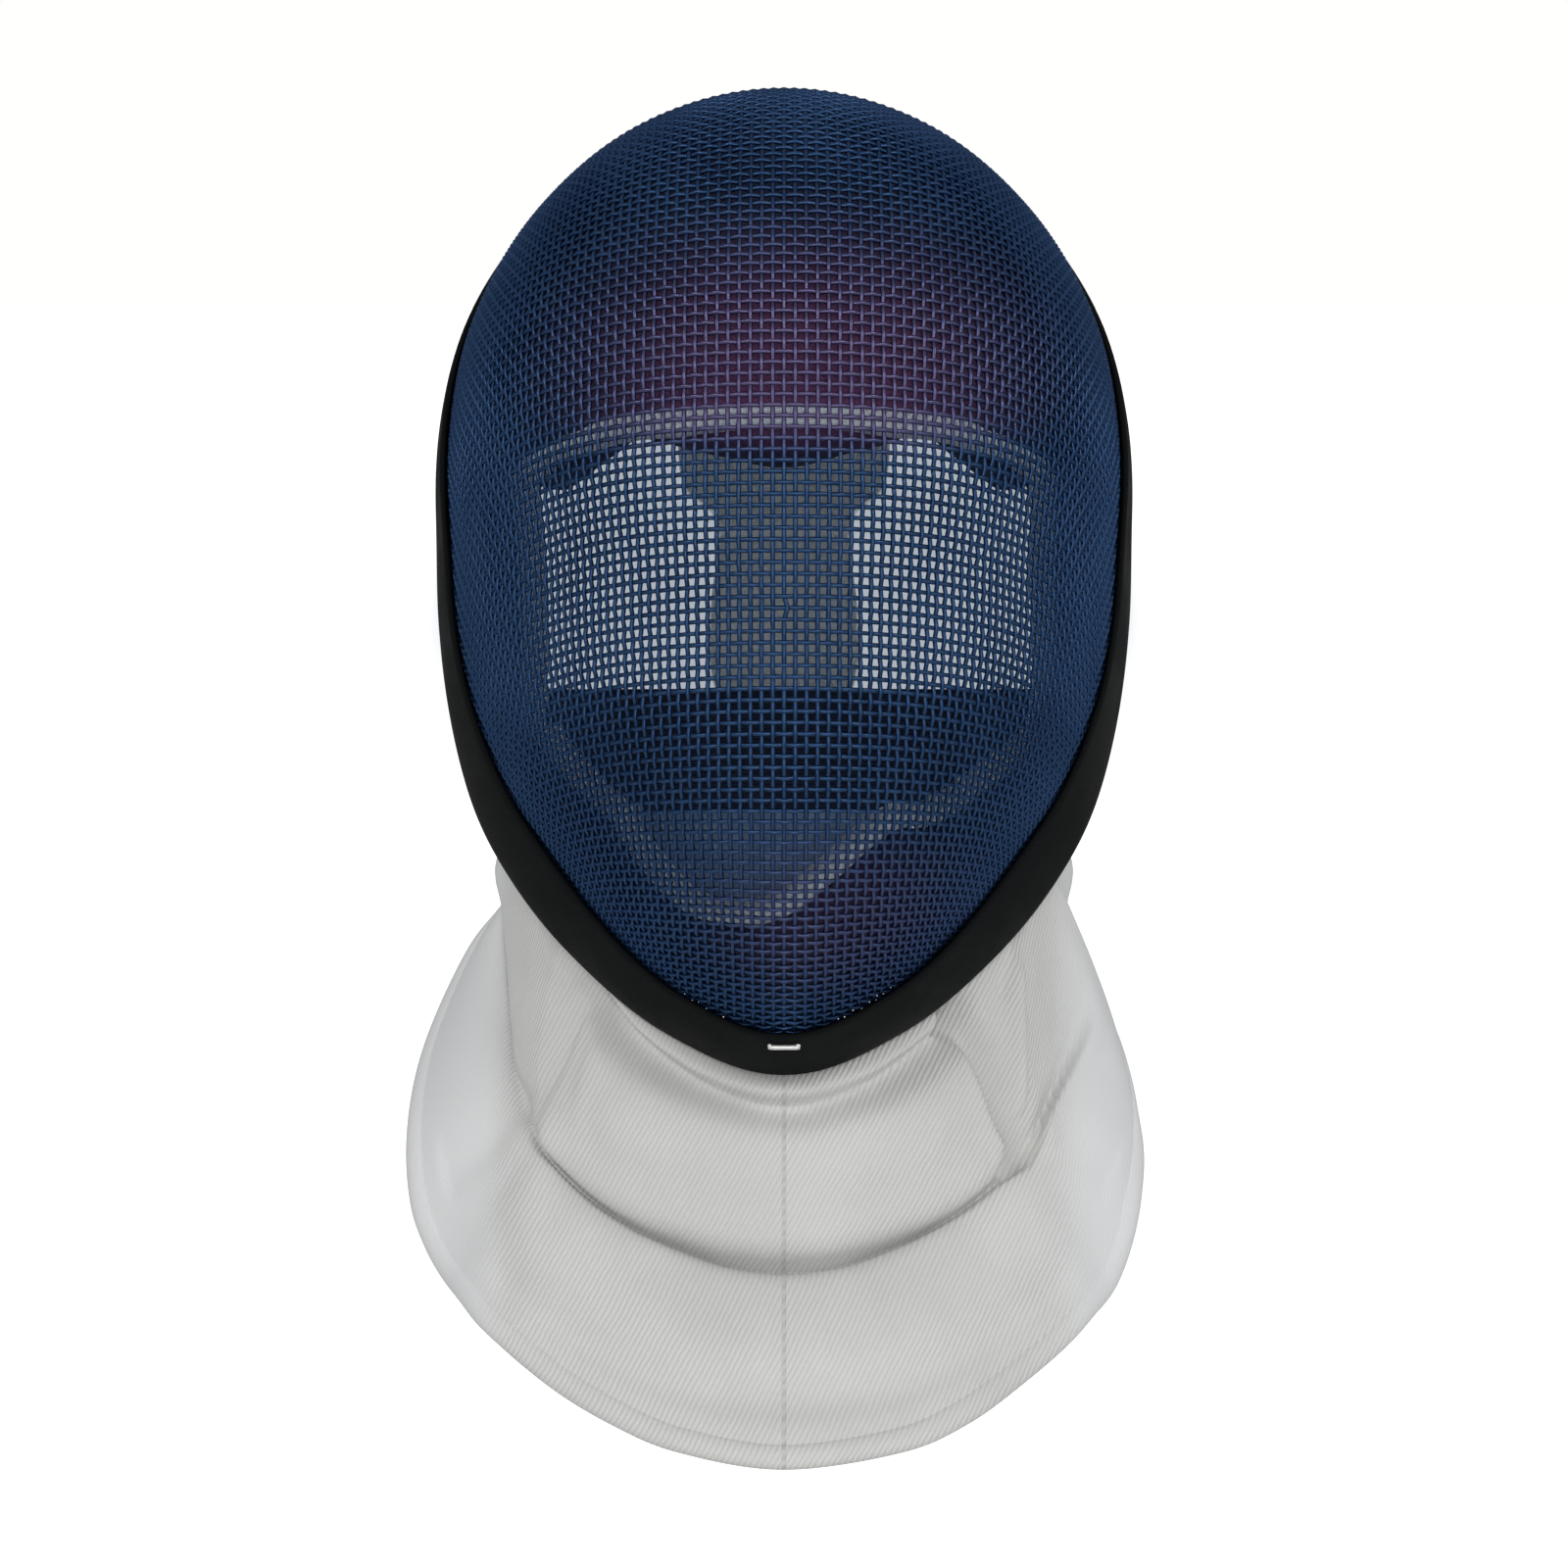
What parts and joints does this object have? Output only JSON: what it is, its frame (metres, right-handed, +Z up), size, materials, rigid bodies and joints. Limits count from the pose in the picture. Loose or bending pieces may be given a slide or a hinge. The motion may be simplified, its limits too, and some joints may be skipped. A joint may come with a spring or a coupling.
{
  "type": "fencing mask",
  "caption": "Fencing mask as worn: domed face of woven wire, rubber edge trim, padded liner, sprung tongue, elastic back strap, and a stiff cloth bib that rolls out over the throat.",
  "frame": {"origin": "the spot inside the crown pad that rests on the top of the wearer's head, on the mask's middle plane", "axes": "+Z is up and +X is to the right of someone who looks at the face, which points to -Y"},
  "size_m": [0.2207, 0.2319, 0.378],
  "materials": {
    "navy_wire": "satin enamel over woven steel wire",
    "black_rubber": "matt moulded rubber",
    "bright_steel": "bright drawn wire",
    "navy_lining": "soft knitted cloth over foam",
    "pale_blue_binding": "folded cotton tape",
    "grey_cloth": "plain woven cloth over a flat spring",
    "navy_elastic": "ribbed elastic webbing",
    "white_twill": "stiff cotton twill"
  },
  "bodies": {
    "root": {"mesh_shell": "navy_wire", "edge_trim": "black_rubber", "staple": "bright_steel", "crown_pad": "navy_lining", "crown_binding": "pale_blue_binding", "right_pad": "navy_lining", "right_binding": "pale_blue_binding", "left_pad": "navy_lining", "left_binding": "pale_blue_binding", "chin_pad": "navy_lining", "chin_binding": "pale_blue_binding", "tongue": "grey_cloth", "back_strap": "navy_elastic", "bib": "white_twill", "bib_hem": "white_twill"}
  },
  "joints": []
}
